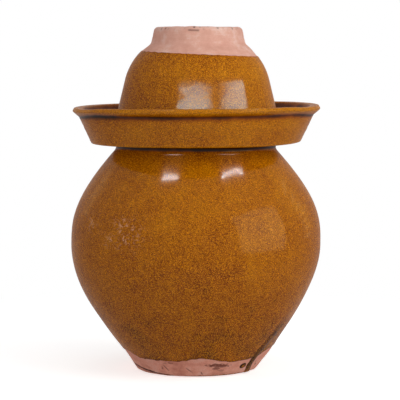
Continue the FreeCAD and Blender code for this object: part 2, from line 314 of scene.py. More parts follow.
def lathe(name, outline, at, shape, hidden, segments):
    """Turn rows into a closed skin. A row has its radius r, its height z, its length s along the
    outline and how far up it faces. shape(theta, row) gives how far each point stands out from
    the outline, its lift and its shift towards +X, all in millimetres, and values for the
    material. hidden(row) says which rows get little room in the texture."""
    tangent = np.gradient(outline, axis=0)
    tangent /= np.maximum(np.hypot(*tangent.T), 1e-9)[:, None]
    normal = np.stack([tangent[:, 1], -tangent[:, 0]], 1)
    theta = -180 + 360 * np.arange(segments)[:, None] / segments
    row = {"r": outline[None, :, 0], "z": outline[None, :, 1], "s": at[None, :],
           "up": normal[None, :, 1]}
    out, lift, side, values = shape(theta, row)
    r = row["r"] + out * normal[None, :, 0]
    z = row["z"] + out * normal[None, :, 1] + lift
    turn = np.radians(theta)
    grid = np.stack([r * np.sin(turn) + side, -r * np.cos(turn), z], 2) * MM

    mesh = bpy.data.meshes.new(name)
    mesh.from_pydata(by_point(grid).tolist(), [], skin_faces(segments, len(at) - 1))
    layer = mesh.uv_layers.new(name="OFBake")
    layer.data.foreach_set("uv", texture_places(segments, at, hidden(row)[0]).ravel())
    for key, field in values.items():
        flat = by_point(np.broadcast_to(field, (segments, len(at))))
        mesh.attributes.new(key, "FLOAT", "POINT").data.foreach_set("value", flat)
    mesh.shade_smooth()
    mesh.update()
    piece = bpy.data.objects.new(name, mesh)
    bpy.context.scene.collection.objects.link(piece)
    return piece


# ---------------------------------------------------------------- crock

# Here s is the length up the outside of the jar, from the lower edge of the foot.

FOOT_TOP = (FOOT_R + FOOT_CORNER * math.cos(FOOT_LEAN),
            FOOT_CORNER - FOOT_CORNER * math.sin(FOOT_LEAN))
WALL = curve(FOOT_TOP,
             (FOOT_TOP[0] + WALL_RUN * math.sin(FOOT_LEAN), FOOT_TOP[1] + WALL_RUN * math.cos(FOOT_LEAN)),
             (BELLY_R, BELLY_Z - BELLY_DROP),
             (BELLY_R, BELLY_Z))
SHOULDER = curve((BELLY_R, BELLY_Z),
                 (BELLY_R, BELLY_Z + BELLY_RISE),
                 (BELLY_R, TROUGH_BASE_Z - (BELLY_R - SHOULDER_R) / math.tan(SHOULDER_LEAN)),
                 (SHOULDER_R, TROUGH_BASE_Z))


def crock_side(z):
    """The thrown jar isn't quite true: its middle wanders a little with height."""
    return -0.9 * bump(z, 66, 24) + 1.5 * bump(z, 15, 11) + 0.25 * fade(190, 225, z)


def crock_wobble(theta, s):
    """The clay and the glaze share the same slow unevenness, and the foot stands flat."""
    return waves(11, theta, s, 0.22, (2, 4), (90, 240)) * fade(6, 22, s)


LIFT_LOW = TROUGH_BASE_Z - 4.5  # the trough's unevenness comes in from here
LIFT_HIGH = CREASE_Z + 2.0  # and is whole from here


def trough_lift(theta, r, z):
    """The trough stands a little higher at its right, and more so at its back right. Its crease
    lies higher at the front, and so does the bead above it."""
    tilt = 0.85 * np.sin(np.radians(theta)) * fade(66, 92, r) * fade(LIFT_LOW, LIFT_LOW + 5, z)
    back = 1.2 * bump(angle_from(theta, 132), 0, 62) * fade(LIFT_LOW, LIFT_HIGH, z)
    front = fade(-78, -52, theta) * fade(78, 52, theta)
    crease = 2.2 * bump(z, CREASE_Z + 0.5, 2.8) * front * (r > CHANNEL_RIM_R - 1.5)
    bead = 1.5 * fade(-68, -44, theta) * fade(68, 44, theta) * fade(CREASE_Z + 1.5, RIM_Z - 2, z)
    slow = waves(14, theta, 0, 0.12, (2, 5), LEVEL) * fade(LIFT_LOW, LIFT_HIGH, z)
    return tilt + back + crease + bead + slow


def glaze_line(theta):
    """How far up the wall from the foot's edge the glaze ends: lower at the front, with a hump
    in the middle of it and another at the right, and a fine waver all round."""
    front = fade(-68, -50, theta) * (1 - fade(48, 72, theta))
    back = waves(3, theta, 0, 1.5, (2, 6), LEVEL) * (1 - front)
    humps = 4.6 * bump(theta, 3, 12) - 1.1 * bump(theta, 32, 9) + 4.5 * bump(theta, 85, 22)
    return 26.5 + back - 7.0 * front + humps + waves(4, theta, 0, 0.28, (18, 60), LEVEL)


def run_middle(s):
    """The angle at which the run of glaze goes down to the foot."""
    return 51.0 + 9.5 * fade(16, 52, s) + 3.3 * (1 - fade(3, 13, s))


RUN_HALF = 3.5
RUN_FOOT = 2.6  # how far up from the foot's edge the run stops
RUN_REACH = 80  # above this there is nothing of the run
DROP_ANGLE = 42.4
DROP_UP = 12.0
DROP_R = 3.0
DROP_WIDER = 1.2
FAR = 50  # stands for well inside or well outside
ALL_GLAZE_Z = 60.0  # no clay shows above this
SKIN_START = 0.85  # the glaze's skin lies on its outline up to here
CROWN_R = 104.0  # the middle of the bead's top, which is a little rounded
FACE_FROM_R = 106.0  # the bead's face is outside this radius, and the crease inside it

SCUFFS = [  # angle, height, half width in degrees, half height
    (-34, 136, 6, 6),
    (-40, 122, 6, 5),
    (-31, 126, 6, 10),
    (-55, 135, 5, 7),
    (140, 120, 7, 6),
    (96, 104, 5, 8),
]
SPOT_ANGLE = 17.3
SPOT_Z = 56.0
SPOT_R = 1.9


def foot_marks(theta, s, r):
    """Distances, in millimetres and positive inside, to the edges of the run and the droplet."""
    across = np.radians(theta - run_middle(s)) * r
    half = RUN_HALF + 1.6 * fade(16, 34, s) + 0.5 * bump(s, 4.0, 2.5)
    run = np.where(s < RUN_REACH, half - np.abs(across), -FAR)
    run = np.minimum(run, s - RUN_FOOT)
    drop = DROP_R - np.hypot(np.radians(theta - DROP_ANGLE) * r / DROP_WIDER, s - DROP_UP)
    return run, drop


def crock_pool(theta, s, z, r, up, run, drop, inside):
    """Where the glaze runs thick and dark: in the run and round the droplet, along the glaze's edge,
    and at one dark spot. Painted shade darkens the crease under the bead, the trough's root under its
    overhang and the channel's wall."""
    # painted shade: the crease under the bead is darkened
    crease = 1.2 * bump(z, CREASE_Z + 0.1, 1.6) * (r > CHANNEL_RIM_R + 0.5) * (r < FACE_FROM_R)
    # painted shade: the shoulder's root under the trough's overhang is darkened
    root = 1.4 * bump(np.hypot(r - SHOULDER_R - 5.3, z - TROUGH_BASE_Z + 2.4), 0, 2.6)
    # painted shade: the channel's inner wall is darkened
    channel = (fade(0.1, 0.4, up) * fade(CHANNEL_RIM_R + 1, CHANNEL_RIM_R - 1.5, r)
               * fade(TROUGH_FLOOR_Z - 1.5, TROUGH_FLOOR_Z + 0.5, z) * fade(NECK_R + 15, NECK_R + 21, r))
    in_run = fade(-2.4, 1.4, run) * fade(76, 44, s) * (0.10 + 0.38 * fade(4, 14, s))
    round_drop = 0.7 * bump(drop, 0.5, 0.7)
    edge = 0.30 * bump(inside, 1.0, 1.6) * (s < 60)
    spot = 0.45 * bump(np.hypot(np.radians(theta - SPOT_ANGLE) * r, z - SPOT_Z), 0, SPOT_R)
    return crease + root + channel + np.clip(in_run + round_drop + edge, 0, 1) + spot


def crock_thinness(theta, s, z, r, run, drop):
    """Where it is thin and light: on the bead's face, the trough's lower edge, the foot of the
    run and the droplet. Painted light makes the shoulder lighter towards its top and more so on the right,
    where the lamps fall, and painted shade makes the wall darker low down."""
    bead = 0.9 * bump(z, BEAD_FACE_Z + 1.2, 2.6) * (r > FACE_FROM_R)
    edge = bump(np.hypot(r - TROUGH_BASE_R, z - TROUGH_BASE_Z - 0.4), 0, 1.3)
    marks = 0.7 * bump(s, 3.4, 1.6) * (run > -1) + 0.5 * (drop > 1.3)
    # painted light: the shoulder is lighter towards its top and more so on the right
    shoulder = 0.5 * fade(100, 175, z) * (1 + 0.5 * bump(theta, 48, 36))
    # painted shade: the last term makes the wall darker low down
    return bead + edge + marks + shoulder - 0.5 * fade(80, 30, z)


def crock_glaze():
    """The glazed skin of the jar, the trough and the neck."""
    turned = 0.26  # radians of the foot's rounding that the skin leaves out
    skin_start = arc((FOOT_R, FOOT_CORNER), FOOT_CORNER, -math.pi / 2 + turned, -FOOT_LEAN)
    floor, bend, dip = (0, 7), (45, 7), (50.6, 3.0)  # it closes inside the clay, out of sight
    hidden_run = connect(line(floor, bend), 1.5, line(bend, dip), 0, line(dip, tuple(skin_start[0])))
    outline = connect(
        hidden_run, 0, skin_start, 0, WALL, 0, SHOULDER,
        TROUGH_ROOT, line((SHOULDER_R, TROUGH_BASE_Z), (TROUGH_BASE_R, TROUGH_BASE_Z)),
        TROUGH_CORNER, line((TROUGH_BASE_R, TROUGH_BASE_Z), (CREASE_R, CREASE_Z)),
        CREASE_CORNER, line((CREASE_R, CREASE_Z), (BEAD_R, BEAD_FACE_Z)),
        BEAD_CORNER, line((BEAD_R, BEAD_FACE_Z), FLAT_LOW),
        FLAT_CORNER, line(FLAT_LOW, FLAT_HIGH),
        FLAT_CORNER, line(FLAT_HIGH, (CHANNEL_RIM_R, RIM_Z)),
        BEAD_CORNER, line((CHANNEL_RIM_R, RIM_Z), (CHANNEL_FLOOR_R, TROUGH_FLOOR_Z)),
        TROUGH_BED, line((CHANNEL_FLOOR_R, TROUGH_FLOOR_Z), (NECK_R, TROUGH_FLOOR_Z)),
        NECK_CORNER, line((NECK_R, TROUGH_FLOOR_Z), (NECK_R, NECK_Z)),
        NECK_CORNER, line((NECK_R, NECK_Z), (0, NECK_Z)))
    origin = lengths(hidden_run)[-1] - FOOT_CORNER * turned
    thin, at = rows(outline, widest=2.9, finest=0.46, zones=[(origin, origin + 36, 0.72)])
    at = at - origin

    def shape(theta, row):
        s, z, r = row["s"], row["z"], row["r"]
        neck = fade(NECK_R + 24, NECK_R + 16, r)
        neck = neck * fade(TROUGH_FLOOR_Z - 4.5, TROUGH_FLOOR_Z - 0.5, z)
        run, drop = foot_marks(theta, s, r)
        inside = either(either(s - glaze_line(theta), run, 2.0), drop, 0.6)
        inside = np.where(z > ALL_GLAZE_Z, FAR, inside)
        ridge = np.exp(-(np.clip(RUN_HALF - run, 0, None) / 2.4) ** 2) * (run > -4) * fade(60, 40, s)
        bead = np.sqrt(np.clip(drop / DROP_R, 0, 1))
        height = glaze_height(inside, 0.3) + 0.55 * (ridge + bead)
        wobble = crock_wobble(theta, s)
        peel = waves(12, theta, s, 0.012, (6, 26), (14, 40), 24)
        on_trough = bump(z, TROUGH_FLOOR_Z + 2.5, 8)
        throwing = waves(13, theta, s, 0.006, (0, 1), (6, 15), 10) * (1 + 14 * on_trough)
        from_crown = np.abs(r - CROWN_R)
        crown = 0.55 * (from_crown / 4.6) ** 2 * (from_crown < 6) * fade(RIM_Z - 4, RIM_Z - 0.5, z)
        out = height + (1 - neck) * (wobble + (peel + throwing) * fade(6, 22, s)) - crown
        out = np.where((neck > 0.5) | (s <= SKIN_START), 0, out)
        scuff = sum(bump(angle_from(theta, angle), 0, wide) * bump(z, up, high)
                    for angle, up, wide, high in SCUFFS)
        return out, trough_lift(theta, r, z) * (1 - neck), crock_side(z), {
            # thick glaze, with painted shade in the crease, at the trough's root and on the channel's wall
            "pool": crock_pool(theta, s, z, r, row["up"], run, drop, inside),
            # thin glaze, with painted light on the shoulder and painted shade low on the wall
            "thin": crock_thinness(theta, s, z, r, run, drop), "scuff": scuff}

    def hidden(row):
        in_trough = (row["r"] < NECK_R + 26) & (row["z"] > TROUGH_FLOOR_Z - 4.5)
        return (row["s"] < SKIN_START - 0.05) | in_trough

    return lathe("crock_glaze", thin, at, shape, hidden, segments=410)


STAINS = [  # angle, distance up, half width, half height, how dark
    (15.5, 15.6, 9.5, 1.9, 1.0),
    (22.0, 14.2, 6.0, 1.6, 0.9),
    (-70.0, 7.0, 8.0, 2.0, 0.65),
    (-50.0, 4.0, 8.0, 1.5, 0.6),
    (-31.0, 10.5, 1.0, 2.0, 0.6),
    (16.5, 12.0, 3.2, 2.2, 0.8),
    (21.0, 8.6, 3.6, 1.7, 0.45),
    (-22.7, 17.4, 3.4, 1.0, 0.6),
    (-27.5, 16.0, 2.2, 0.8, 0.4),
    (61.5, 10.4, 1.6, 0.9, 0.7),
    (120.0, 14.0, 5.0, 1.4, 0.8),
    (-112.0, 11.0, 3.5, 2.0, 0.6),
    (-163.0, 17.0, 6.0, 1.2, 0.7),
    (168.0, 8.0, 2.6, 1.4, 0.5),
]
SCRATCHES = [  # from angle and distance up, to angle and distance up, how deep
    (-29.5, 14.0, -25.5, 8.0, 0.35),
    (-9.5, 12.5, -4.0, 7.0, 0.3),
    (3.8, 7.6, 5.2, 4.6, 0.4),
    (58.5, 15.0, 60.5, 11.5, 0.25),
    (96.0, 18.0, 101.0, 12.0, 0.3),
    (-140.0, 10.0, -128.0, 6.0, 0.35),
    (150.0, 16.0, 153.0, 6.0, 0.3),
]
CRACKS = [  # the same, near the foot's edge
    (-76.0, 9.5, -62.0, 7.0, 0.6),
    (-64.0, 6.8, -44.0, 4.4, 0.7),
    (-48.0, 3.6, -24.0, 2.6, 0.5),
    (88.0, 4.5, 112.0, 3.2, 0.5),
    (-172.0, 3.5, -150.0, 4.5, 0.6),
]
MARKS_R = 58  # the foot's radius where most of the marks are
WIDE_MARK = 0.45  # marks deeper than this are wider


def marks_on_clay(theta, s, r, ragged):
    """Stains left by glaze wiped off, and the depth of scratches and cracks."""
    stain, groove = 0, 0
    for angle, up, wide, high, dark in STAINS:
        far = np.hypot(np.radians(angle_from(theta, angle)) * r / wide, (s - up) / high)
        stain = np.maximum(stain, dark * fade(1.15, 0.75, far + ragged))
    for first, low, last, high, deep in SCRATCHES + CRACKS:
        long = np.array([math.radians(last - first) * MARKS_R, high - low])
        x, y = np.radians(angle_from(theta, first)) * r, s - low
        t = np.clip((x * long[0] + y * long[1]) / (long @ long), 0, 1)
        away = np.hypot(x - t * long[0], y - t * long[1] + ragged * 0.5)
        wide = 1.1 if deep > WIDE_MARK else 0.7
        ends = np.sin(np.clip(t, 0.04, 0.96) * math.pi) ** 0.4
        groove = np.maximum(groove, deep * fade(wide, 0.1, away) * ends)
    return stain, groove


CLAY_TOP = 40.0  # the clay's skin goes on up to here, under the glaze's


def crock_clay_foot():
    """The bare clay foot, with its turned base."""
    base = connect(
        line((0, BASE_RECESS), (BASE_FLOOR_R, BASE_RECESS)),
        BASE_CORNER, line((BASE_FLOOR_R, BASE_RECESS), (FOOT_R - BASE_RING, 0)),
        BASE_CORNER, line((FOOT_R - BASE_RING, 0), (FOOT_R, 0)))
    foot_round = arc((FOOT_R, FOOT_CORNER), FOOT_CORNER, -math.pi / 2, -FOOT_LEAN)
    wall = WALL[WALL[:, 1] < CLAY_TOP]
    outline = connect(base, 0, foot_round, 0, wall, 1.2, line(tuple(wall[-1]), (0, CLAY_TOP + 2)))
    origin = lengths(base)[-1]
    thin, at = rows(outline, widest=3.0, finest=0.45, zones=[(origin - 3, origin + 34, 0.52)])
    at = at - origin

    def shape(theta, row):
        s, z, r = row["s"], row["z"], row["r"]
        on_wall = fade(-2, 1.5, s)
        ragged = waves(21, theta, s, 0.16, (30, 130), (2, 9), 24)
        stain, groove = marks_on_clay(theta, s, r, ragged)
        edge = bump(s, 1.6, 2.2)
        chips = np.clip(waves(22, theta, s, 0.30, (14, 70), (6, 20), 20) - 0.12, 0, 1.2) * edge
        uneven = waves(23, theta, s, 0.13, (5, 24), (8, 30), 20)
        dive = SUNK * fade(30, 36, s)
        rubbed = 0.95 * bump(s, 0.8, 2.5) * fade(-30, 8, theta) * fade(78, 50, theta)
        out = (CLAY_BACK * on_wall + crock_wobble(theta, s)
               + on_wall * (uneven * 0.5 - chips - groove * 0.9) - dive - rubbed)
        under = fade(-1.0, -2.5, s)
        out = np.where(z < 0.02, np.minimum(out, 0), out) * (1 - under)
        return out, 0, crock_side(z), {
            "stain": stain, "groove": groove + chips * 0.5, "worn": edge * on_wall}

    def hidden(row):
        return (row["s"] > 32) | (row["s"] < -4)

    return lathe("crock_clay_foot", thin, at, shape, hidden, segments=720)


# ---------------------------------------------------------------- lid

# Here s is the length along a piece's outline, from its start on the axis.

LID_ACROSS = np.array([math.cos(LID_LEAN), math.sin(LID_LEAN)])
LID_UP = np.array([-math.sin(LID_LEAN), math.cos(LID_LEAN)])
LID_EDGE = np.array([LID_EDGE_R, TROUGH_FLOOR_Z])
RING_FOOT = np.array([RING_FOOT_R, RING_FOOT_Z])
INSET = BOWL_ARC + (RING_FOOT - LID_EDGE) @ LID_ACROSS
SIDE_TOP = LID_EDGE + LID_UP * ((RING_FOOT - LID_EDGE) @ LID_UP - math.sqrt(BOWL_ARC ** 2 - INSET ** 2))
BOWL_CENTRE = SIDE_TOP - LID_ACROSS * BOWL_ARC
BOWL = arc(BOWL_CENTRE, BOWL_ARC, LID_LEAN, math.atan2(*(RING_FOOT - BOWL_CENTRE)[::-1]))


def lid_side(z):
    """The lid stands a little off centre, and its foot ring more so."""
    return 1.0 + 1.0 * fade(277, 291, z)


LID_SKIN_Z = TROUGH_FLOOR_Z + 1.5  # below this the lid's skin lies on its outline
LID_GLAZE_TOP = 284.5  # the glaze's skin goes on up to here, under the clay's
LID_CLAY_LOW = 268.0  # and the clay's goes on down to here, under the glaze's
LID_LINE_Z = 278.45
LID_LINE_NEAR = (51.0, 278.4)  # about where it crosses the outline, for the rows to be close there
LID_LINE_TILT = 2.3
LID_LINE_SLOPE = 1.42  # millimetres along the bowl for each one of height, at the line


def lid_line(theta):
    """The height at which the lid's glaze ends: the lid was dipped at a slight tilt."""
    tilt = LID_LINE_TILT * np.sin(np.radians(theta))
    return LID_LINE_Z - tilt + waves(31, theta, 0, 0.10, (12, 50), LEVEL)


LID_RUNS = [  # angle, lower end, upper end, half width, how proud
    (-41.0, 224.0, 243.0, 1.1, 0.20),
    (-31.0, 224.0, 236.0, 0.9, 0.16),
    (-24.0, 226.0, 250.0, 0.8, 0.12),
    (-52.0, 226.0, 252.0, 1.2, 0.12),
    (60.0, 228.0, 262.0, 1.4, 0.12),
    (101.0, 224.0, 246.0, 1.2, 0.20),
    (150.0, 224.0, 238.0, 1.0, 0.20),
    (-118.0, 225.0, 249.0, 1.2, 0.18),
]


def lid_glaze():
    """The glazed skin of the bowl-shaped lid, with its socket."""
    under = connect(line((0, SOCKET_Z), (SOCKET_R, SOCKET_Z)),
                    NECK_CORNER, line((SOCKET_R, SOCKET_Z), (SOCKET_R, TROUGH_FLOOR_Z)),
                    LID_CORNER, line((SOCKET_R, TROUGH_FLOOR_Z), (LID_EDGE_R, TROUGH_FLOOR_Z)))
    under_length = lengths(under)[-1]
    bowl = BOWL[BOWL[:, 1] < LID_GLAZE_TOP]
    outline = connect(under, LID_CORNER, line((LID_EDGE_R, TROUGH_FLOOR_Z), tuple(SIDE_TOP)), 0, bowl,
                      1.0, line(tuple(bowl[-1]), (0, LID_GLAZE_TOP - 0.5)))
    from_line = np.hypot(*(outline - np.array(LID_LINE_NEAR)).T)
    line_at = lengths(outline)[np.argmin(from_line)]
    thin, at = rows(outline, widest=1.7, finest=0.4, zones=[(line_at - 6, line_at + 6, 0.5)])

    def shape(theta, row):
        s, z, r = row["s"], row["z"], row["r"]
        outside = (row["up"] > -0.2) & (r > 30) & (z > LID_SKIN_Z) & (s > under_length)
        inside = (lid_line(theta) - z) * LID_LINE_SLOPE
        height = glaze_height(inside, 0.10)
        wobble = waves(32, theta, s, 0.03, (2, 4), (90, 200))
        peel = waves(33, theta, s, 0.006, (6, 30), (9, 26), 24)
        throwing = waves(34, theta, s, 0.004, (0, 1), (6, 14), 10)
        runs = 0
        for angle, low, high, half, proud in LID_RUNS:
            across = np.radians(angle_from(theta, angle)) * r
            runs = runs + proud * bump(across, 0, half) * fade(low - 4, low, z) * fade(high, high - 8, z)
        uneven = (wobble + peel + throwing) * fade(LID_SKIN_Z, LID_SKIN_Z + 5, z) * fade(1, 6, inside)
        return outside * (height + uneven + runs), 0, lid_side(z), {
            "pool": 0.22 * bump(inside, 1.2, 1.8) + runs * 0.8,
            # a lighter band round the lid below its glaze line, and painted light on the lid's right side,
            # where the lamps fall
            "thin": 0.35 * bump(z, 262, 8) + 0.5 * bump(theta, 62, 34)}

    def hidden(row):
        return (row["s"] < under_length) | (row["z"] > LID_GLAZE_TOP - 1)

    return lathe("lid_glaze", thin, at, shape, hidden, segments=480)


NOTCH_ANGLE = -6
NOTCH_Z = 298.3
NICKS_Z = RING_TOP_Z - 1.1
WORN_Z = RING_TOP_Z - 0.9


def lid_clay_ring():
    """The lid's bare clay foot ring and the top of its bowl."""
    bowl = BOWL[BOWL[:, 1] > LID_CLAY_LOW]
    outline = connect(
        line((0, LID_CLAY_LOW - 2), tuple(bowl[0])), 1.0, bowl,
        RING_ROOT, line(tuple(RING_FOOT), (RING_R, RING_TOP_Z)),
        RING_CORNER, line((RING_R, RING_TOP_Z), (RECESS_TOP_R, RING_TOP_Z)),
        RING_CORNER, line((RECESS_TOP_R, RING_TOP_Z), (RECESS_FLOOR_R, RECESS_Z)),
        RECESS_CORNER, line((RECESS_FLOOR_R, RECESS_Z), (0, RECESS_Z)))
    thin, at = rows(outline, widest=2.2, finest=0.45, zones=[(70, 110, 0.7)])

    def shape(theta, row):
        s, z, r = row["s"], row["z"], row["r"]
        uneven = waves(42, theta, s, 0.10, (3, 18), (8, 30), 20)
        turning = waves(43, theta, s, 0.03, (0, 1), (1.8, 4.0), 10)
        dive = SUNK * fade(LID_CLAY_LOW + 4, LID_CLAY_LOW, z)
        across = np.radians(angle_from(theta, NOTCH_ANGLE)) * r
        notch = fade(5.4, 4.0, np.abs(across)) * bump(z, NOTCH_Z - 0.04 * across, 0.5) * (r > 35)
        nicks = np.clip(waves(44, theta, s, 0.22, (10, 60), (5, 16), 20) - 0.16, 0, 0.8)
        nicks = nicks * bump(z, NICKS_Z, 1.6)
        uneven = (uneven + turning) * fade(LID_CLAY_LOW + 3, LID_CLAY_LOW + 7, z)
        out = CLAY_BACK + uneven - dive - nicks - 0.25 * notch
        out = np.where((s < 50) & (z < LID_CLAY_LOW - 1), 0, out)
        lift = 0.5 * bump(angle_from(theta, -12), 0, 42) * fade(288, 300, z)
        return out, lift, lid_side(z), {
            "stain": 0.5 * notch, "groove": nicks * 0.8 + 0.25 * notch,
            "worn": bump(z, WORN_Z, 1.6) * (r > 26)}

    def hidden(row):
        return row["z"] < LID_CLAY_LOW + 2

    return lathe("lid_clay_ring", thin, at, shape, hidden, segments=520)


# ---------------------------------------------------------------- materials

class Nodes:
    """Adds nodes to a tree. A value given for an input is either linked or set on its socket."""

    def __init__(self, tree):
        self.tree = tree
        tree.nodes.clear()

    def __call__(self, kind, inputs=None, out=0, **settings):
        node = self.tree.nodes.new(kind)
        for key, setting in settings.items():
            setattr(node, key, setting)
        for key, given in (inputs or {}).items():
            if isinstance(given, bpy.types.NodeSocket):
                self.tree.links.new(given, node.inputs[key])
            else:
                node.inputs[key].default_value = given
        return node.outputs[out] if node.outputs else None

    def value(self, attribute):
        """What lathe() left on the mesh under this name."""
        return self("ShaderNodeAttribute", attribute_name=attribute, out=2)

    def math(self, operation, *given, clamp=False):
        return self("ShaderNodeMath", dict(enumerate(given)), operation=operation, use_clamp=clamp)

    def noise(self, vector, scale, detail=2.0, roughness=0.5, distortion=0.0):
        return self("ShaderNodeTexNoise", {"Vector": vector, "Scale": scale, "Detail": detail,
                                           "Roughness": roughness, "Distortion": distortion})

    def stretch(self, vector, x, y, z):
        return self("ShaderNodeVectorMath", {0: vector, 1: (x, y, z)}, operation="MULTIPLY")

    def ramp(self, factor, *stops):
        node = self.tree.nodes.new("ShaderNodeValToRGB")
        self.tree.links.new(factor, node.inputs[0])
        band = node.color_ramp
        while len(band.elements) < len(stops):
            band.elements.new(0.5)
        for element, (position, shade) in zip(band.elements, stops):
            element.position = position
            element.color = (*shade, 1)
        return node.outputs[0]

    def mix(self, factor, first, second, blend="MIX"):
        node = self.tree.nodes.new("ShaderNodeMix")
        node.data_type = "RGBA"
        node.blend_type = blend
        for index, given in ((0, factor), (6, first), (7, second)):
            socket = node.inputs[index]
            if isinstance(given, bpy.types.NodeSocket):
                self.tree.links.new(given, socket)
            else:
                socket.default_value = (*given, 1) if isinstance(given, tuple) else given
        return node.outputs[2]

    def bump(self, height, distance, strength=1.0, normal=None):
        inputs = {"Height": height, "Distance": distance, "Strength": strength}
        if normal is not None:
            inputs["Normal"] = normal
        return self("ShaderNodeBump", inputs)


def colour(red, green, blue):
    """A colour as it is seen on screen, 0 to 255, turned into the light it stands for."""
    return tuple(c / 12.92 if c <= 0.04045 else ((c + 0.055) / 1.055) ** 2.4
                 for c in (red / 255, green / 255, blue / 255))


def grey(level):
    """How much of something, as a ramp's colour."""
    return (level, level, level)


GRAIN = 2200  # cells of the glaze's grain in a metre


def glaze_material(name, dimpled):
    """Amber glaze over red clay: gold where it is thin, brown where it runs thick, and finely
    grained all over, under a smooth skin. Painted shade darkens the crease, the trough's root, the channel
    and the jar's low wall, and painted light brightens the jar's shoulder and the lid's right side. The
    gloss is held low, because the white surround would lie over the brown as a haze. dimpled is how deep
    the skin's own dimples are."""
    material = bpy.data.materials.new(name)
    material.use_nodes = True
    add = Nodes(material.node_tree)
    place = add("ShaderNodeTexCoord", out=3)
    # the first value is thick glaze and painted shade, the second thin glaze and painted light
    pool = add.value("pool")
    thin = add.value("thin")
    scuff = add.value("scuff")
    patches = add.noise(place, 17, 3, 0.55, 0.4)
    blotches = add.noise(place, 52, 1, 0.6, 0.6)
    streaks = add.noise(add.stretch(place, 1, 1, 0.12), 130, 1, 0.6)
    cells = add("ShaderNodeTexVoronoi", {"Vector": place, "Scale": GRAIN}, out=1)
    speckle = add("ShaderNodeSeparateColor", {"Color": cells})
    scratchy = add.noise(place, 300, 3, 0.7, 1.2)

    depth = add.math("MULTIPLY_ADD", patches, 0.45, 0.07)
    depth = add.math("MULTIPLY_ADD", blotches, 0.30, depth)
    depth = add.math("MULTIPLY_ADD", streaks, 0.20, depth)
    # thick glaze and painted shade make the colour darker here
    depth = add.math("MULTIPLY_ADD", pool, 0.42, depth)
    # thin glaze and painted light make the colour lighter here
    depth = add.math("MULTIPLY_ADD", thin, -0.20, depth, clamp=True)
    hue = add.ramp(depth, (0.22, colour(192, 118, 3)), (0.44, colour(167, 91, 1)),
                   (0.62, colour(147, 71, 0)), (0.78, colour(98, 42, 0)), (0.97, colour(40, 15, 0)))
    calm = add.math("SUBTRACT", 1.0, pool, clamp=True)
    light = add.ramp(speckle, (0.0, (0.36, 0.31, 0.26)), (0.5, grey(0.98)))
    glint = add.math("MULTIPLY", add.ramp(speckle, (0.55, grey(0)), (1.0, grey(1))), calm)
    hue = add.mix(calm, hue, add.mix(1.0, hue, light, "MULTIPLY"))
    hue = add.mix(glint, hue, colour(225, 141, 6))
    rubbed = add.math("MULTIPLY", scuff, add.ramp(scratchy, (0.54, grey(0)), (0.63, grey(0.6))))
    hue = add.mix(rubbed, hue, colour(214, 160, 120))

    peel = add.noise(place, 240, 2, 0.5)
    dimples = add.noise(place, 900, 2, 0.6)
    skin = add.bump(peel, dimpled)
    relief = add.bump(dimples, 0.000030, normal=skin)
    sheen = add.math("MULTIPLY_ADD", blotches, 0.16, 0.32)
    shader = add("ShaderNodeBsdfPrincipled", {
        "Base Color": hue, "Roughness": sheen, "Normal": relief, "IOR": 1.5, "Specular IOR Level": 0.01,
        "Specular Tint": (1.0, 0.78, 0.22, 1),
        "Coat Weight": 0.08, "Coat Roughness": 0.10, "Coat IOR": 2.0, "Coat Normal": skin})
    add("ShaderNodeOutputMaterial", {"Surface": shader})
    return material


def clay_material(name, body, deep, pale):
    """Bare fired clay: dry, fine grained and a little mottled."""
    material = bpy.data.materials.new(name)
    material.use_nodes = True
    add = Nodes(material.node_tree)
    place = add("ShaderNodeTexCoord", out=3)
    stain = add.value("stain")
    groove = add.value("groove")
    worn = add.value("worn")
    patches = add.noise(place, 38, 3, 0.6, 0.3)
    mottle = add.noise(place, 170, 3, 0.65)
    grain = add.noise(place, 1100, 2, 0.7)
    turning = add.noise(add.stretch(place, 0.10, 0.10, 1), 420, 2, 0.6)

    tone = add.math("MULTIPLY_ADD", patches, 0.55, add.math("MULTIPLY", mottle, 0.30))
    tone = add.math("MULTIPLY_ADD", turning, 0.15, tone)
    hue = add.ramp(tone, (0.36, deep), (0.50, body), (0.66, pale))
    hue = add.mix(add.math("MULTIPLY", worn, 0.25), hue, pale)
    hue = add.mix(add.ramp(grain, (0.38, grey(0.35)), (0.55, grey(0))), hue, deep)
    smear = add.math("MULTIPLY", stain, add.ramp(mottle, (0.36, grey(0.72)), (0.56, grey(1))))
    hue = add.mix(add.math("MULTIPLY", smear, 0.92, clamp=True), hue, colour(96, 40, 28))
    hue = add.mix(add.math("MULTIPLY", groove, 2.6, clamp=True), hue, colour(58, 26, 18))

    relief = add.bump(mottle, 0.00022)
    relief = add.bump(grain, 0.00007, normal=relief)
    shader = add("ShaderNodeBsdfPrincipled", {"Base Color": hue, "Roughness": 0.86, "Normal": relief,
                                              "Specular IOR Level": 0.25})
    add("ShaderNodeOutputMaterial", {"Surface": shader})
    return material


jar_glaze = glaze_material("jar_glaze", dimpled=0.00001)
bowl_glaze = glaze_material("bowl_glaze", dimpled=0.00004)
foot_clay = clay_material("foot_clay", colour(223, 150, 128), colour(188, 114, 94), colour(228, 172, 155))
ring_clay = clay_material("ring_clay", colour(219, 162, 143), colour(206, 146, 127), colour(231, 194, 181))

for make, material, slot, node in [
        (crock_glaze, jar_glaze, "amber_glaze", "crock"),
        (crock_clay_foot, foot_clay, "bare_clay", "crock"),
        (lid_glaze, bowl_glaze, "amber_glaze", "lid"),
        (lid_clay_ring, ring_clay, "bare_clay", "lid")]:
    piece = make()
    piece.data.materials.append(material)
    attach(piece, "root")
    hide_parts(node)

# ---------------------------------------------------------------- floor, backdrop and world

